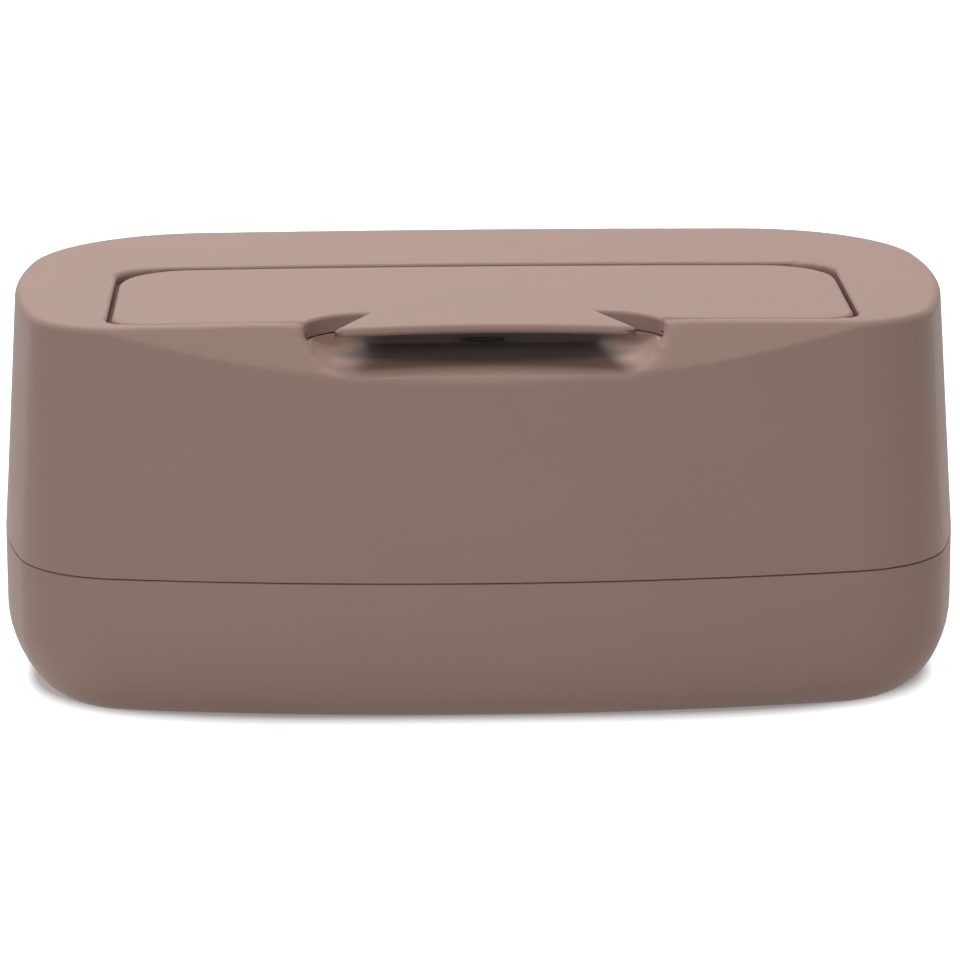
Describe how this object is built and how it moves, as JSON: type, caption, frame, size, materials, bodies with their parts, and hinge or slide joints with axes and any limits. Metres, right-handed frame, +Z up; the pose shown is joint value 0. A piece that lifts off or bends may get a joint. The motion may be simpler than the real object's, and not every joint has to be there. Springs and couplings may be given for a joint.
{
  "type": "countertop wipes dispenser",
  "caption": "Low rounded box for wet wipes: a tray and lift-off cover, a flush hinged lid with a finger scoop at its front edge, and a weighted press plate inside.",
  "frame": {"origin": "centre of the footprint, on the surface that the feet stand on", "axes": "+Z up, +X to the right seen from the front, and the front with the finger scoop faces -Y"},
  "size_m": [0.22, 0.128, 0.092],
  "materials": {
    "shell_plastic": "fine matt texture",
    "inner_plastic": "matt",
    "seal_rubber": "soft",
    "foot_rubber": "soft",
    "steel": "plated",
    "magnet_plating": "plated"
  },
  "bodies": {
    "base": {"base_tray": "shell_plastic", "foot_front_left": "foot_rubber", "foot_front_right": "foot_rubber", "foot_rear_left": "foot_rubber", "foot_rear_right": "foot_rubber", "rim_seal": "seal_rubber"},
    "cover": {"cover_shell": "shell_plastic", "lid_frame": "inner_plastic", "frame_screws": "steel", "catch_plate": "steel", "hinge_pin_left": "steel", "hinge_pin_right": "steel"},
    "lid": {"lid_skin": "shell_plastic", "lid_panel": "inner_plastic", "lid_gasket": "seal_rubber", "lid_magnet": "magnet_plating"},
    "press_plate": {"press_plate": "inner_plastic", "press_plate_cap": "inner_plastic", "press_plate_screws": "steel", "press_weight_left": "steel", "press_weight_right": "steel"}
  },
  "joints": [
    {"name": "lid_hinge", "type": "hinge", "parent": "cover", "child": "lid", "pos_m": [0, 0.0073, 0.0875], "axis": [-1, 0, 0], "range_deg": [0, 100]},
    {"name": "cover_lift", "type": "slide", "parent": "base", "child": "cover", "axis": [0, 0, 1], "range_m": [0, 0.12]},
    {"name": "press_plate_slide", "type": "slide", "parent": "base", "child": "press_plate", "axis": [0, 0, 1], "range_m": [0, 0.045]}
  ]
}
